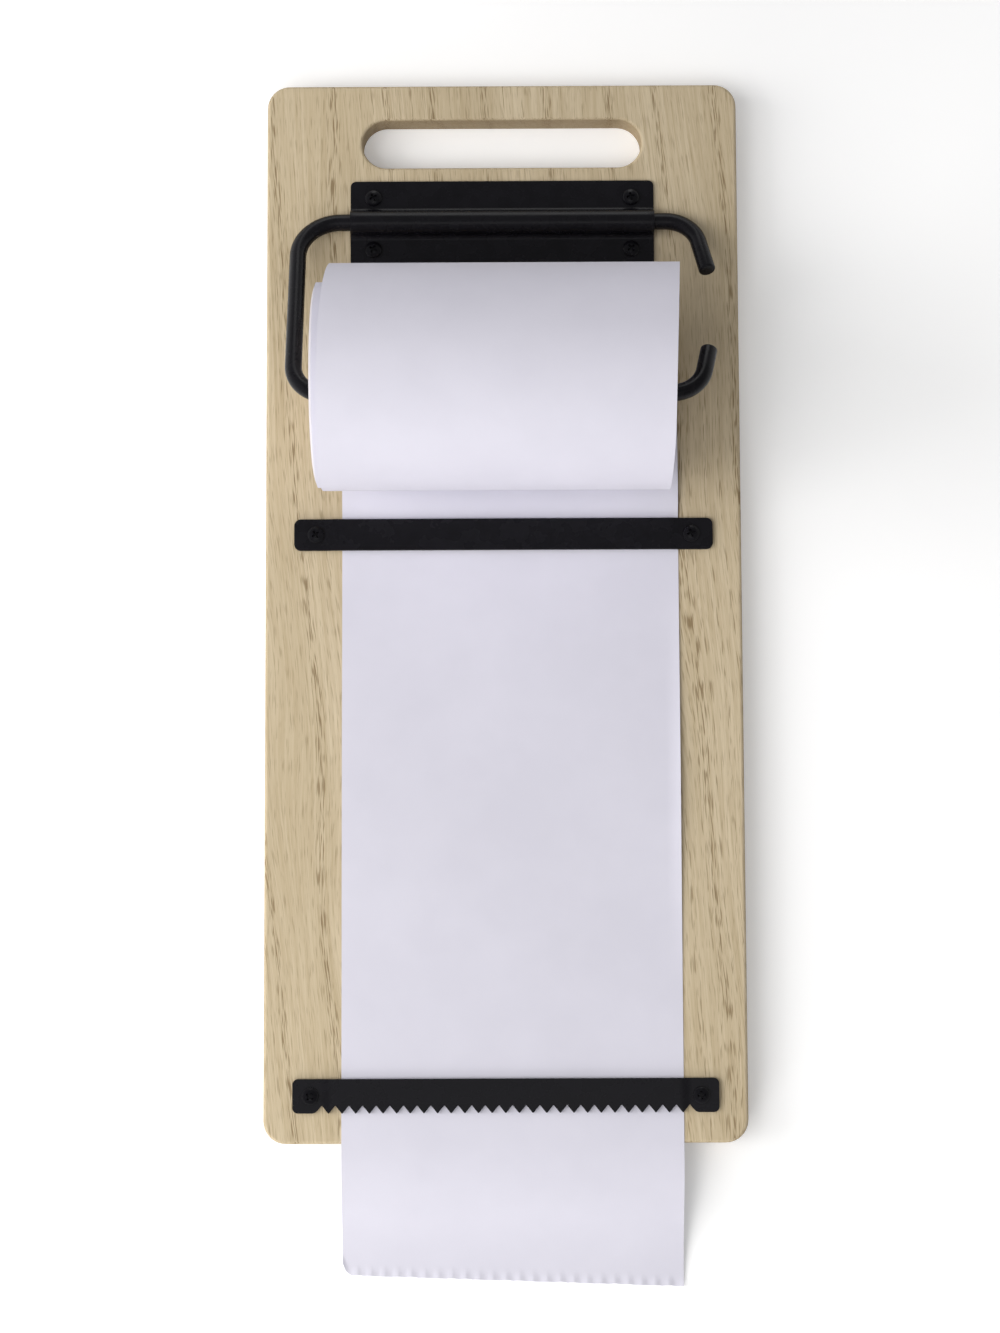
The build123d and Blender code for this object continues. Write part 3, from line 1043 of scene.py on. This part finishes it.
def make_sheet(web):
    """The drawn-off sheet, with a slanted torn end that shows the marks of the teeth."""
    columns_per_tooth = 5
    columns = round(paper_width / (tooth_pitch / columns_per_tooth))
    flat_length = wrap_y - board_low.y
    flat_rows = 96
    tail_rows = 40
    grid = []
    for row in range(flat_rows + tail_rows + 1):
        points = []
        for column in range(columns + 1):
            x = sheet_low.x + paper_width * column / columns
            from_left = x - sheet_low.x
            if row <= flat_rows:
                y = wrap_y - flat_length * row / flat_rows
                points.append(Vector((x, y, sheet_level + sheet_height(x, y))))
                continue
            length = tail_length + tail_slant * (x - sheet_shift) / paper_width
            if from_left < tail_corner_radius:
                length -= tail_corner_radius - sqrt(
                    tail_corner_radius ** 2 - (tail_corner_radius - from_left) ** 2
                )
            tooth = abs(2 * ((x / tooth_pitch) % 1) - 1)
            uneven = 0.6 + 0.4 * sin(41 * from_left / paper_width)
            length -= tear_mark_depth * tooth * uneven
            share = (row - flat_rows) / tail_rows
            from_end = length * (1 - share)
            crease = max(0, 1 - from_end / crease_length) * max(0, 3 * tooth - 2)
            level = tail_level(length * share) + crease_height * crease
            points.append(Vector((x, board_low.y - length * share, level)))
        grid.append(points)
    mesh = thin_sheet("paper_strip", grid, paper_thickness)
    strip = add_piece("paper_strip", mesh, sheet_paper, ["paper_sheet"], sharp_angle=60)
    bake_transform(strip)


make_wrap()
make_sheet(make_web())


# Floor, light and camera


def seen_rays(tree):
    """1 where a ray shows a surface to the camera, straight or reflected, and 0 where it only lights."""
    path = add_node(tree, "ShaderNodeLightPath").outputs
    straight = combine(tree, "MAXIMUM", path["Is Camera Ray"], path["Is Glossy Ray"])
    return combine(tree, "MAXIMUM", straight, path["Is Transmission Ray"])


def make_floor():
    """A white floor that keeps the shadows near the object and looks as white as the backdrop far from it."""
    corners = [(x * floor_half, y * floor_half, 0) for x, y in ((-1, -1), (1, -1), (1, 1), (-1, 1))]
    mesh = new_mesh("floor", corners, [(0, 1, 2, 3)])
    made, tree, shader = new_material("floor_white", Roughness=1.0, Specular_IOR_Level=0.0)
    shader.inputs["Base Color"].default_value = (*floor_tone, 1)
    shader.inputs["Emission Color"].default_value = (1, 1, 1, 1)
    place = object_place(tree)
    away = add_node(tree, "ShaderNodeVectorMath", {0: place}, operation="LENGTH").outputs["Value"]
    glow = combine(tree, "MULTIPLY", seen_rays(tree), ramp(tree, away, *floor_glow_reach, *floor_glow))
    tree.links.new(glow, shader.inputs["Emission Strength"])
    mesh.materials.append(made)
    floor = bpy.data.objects.new("floor", mesh)
    floor.location.z = -floor_drop
    bpy.context.collection.objects.link(floor)


def area_light(name, place, size, power, colour, reflected=True):
    """A soft square light that faces the object; one that isn't reflected leaves no highlights."""
    light = bpy.data.lights.new(name, "AREA")
    light.size = size
    light.energy = power
    light.color = colour
    holder = bpy.data.objects.new(name, light)
    holder.location = place
    holder.rotation_euler = (-Vector(place)).to_track_quat("-Z", "Y").to_euler()
    holder.visible_glossy = reflected
    bpy.context.collection.objects.link(holder)


def make_light():
    """A soft key on the left, a low front light, a side light, weak ones behind and above, and a surround."""
    warm, mild, plain = (1.0, 0.99, 0.975), (1.0, 0.99, 0.98), (1.0, 1.0, 1.0)
    area_light("key", (-0.7, -0.3, 1.1), size=0.8, power=6.5, colour=warm, reflected=False)
    area_light("front", (-0.5, -1.1, 0.4), size=0.6, power=6.0, colour=warm, reflected=False)
    area_light("side", (-1.3, 0.0, 0.62), size=0.9, power=10.8, colour=mild, reflected=False)
    area_light("back", (0.0, 1.4, 0.5), size=0.6, power=2.3, colour=plain)
    area_light("top", (0.0, -0.68, 1.5), size=1.0, power=2.8, colour=plain)
    world = bpy.data.worlds.new("surround")
    world.use_nodes = True
    tree = world.node_tree
    background = tree.nodes["Background"]
    background.inputs["Color"].default_value = (1, 1, 1, 1)
    direction = add_node(tree, "ShaderNodeTexCoord").outputs["Generated"]
    height = add_node(tree, "ShaderNodeSeparateXYZ", {"Vector": direction}).outputs["Z"]
    backdrop = ramp(tree, height, *backdrop_reach, *backdrop_tone)
    strength = ramp(tree, seen_rays(tree), 0.0, 1.0, surround_light, backdrop)
    tree.links.new(strength, background.inputs["Strength"])
    bpy.context.scene.world = world


def make_camera():
    """The photograph's view: nearly straight down on the board's face."""
    camera = bpy.data.cameras.new("camera")
    camera.lens = camera_lens
    camera.sensor_width = camera_sensor
    camera.clip_start = camera_near
    holder = bpy.data.objects.new("camera", camera)
    place = Matrix.Translation(camera_place)
    for angle, axis in zip(camera_turn, "XYZ"):
        place = place @ Matrix.Rotation(angle, 4, axis)
    holder.matrix_world = place
    bpy.context.collection.objects.link(holder)
    bpy.context.scene.camera = holder


make_floor()
make_light()
make_camera()
bpy.context.scene.view_settings.view_transform = "Standard"
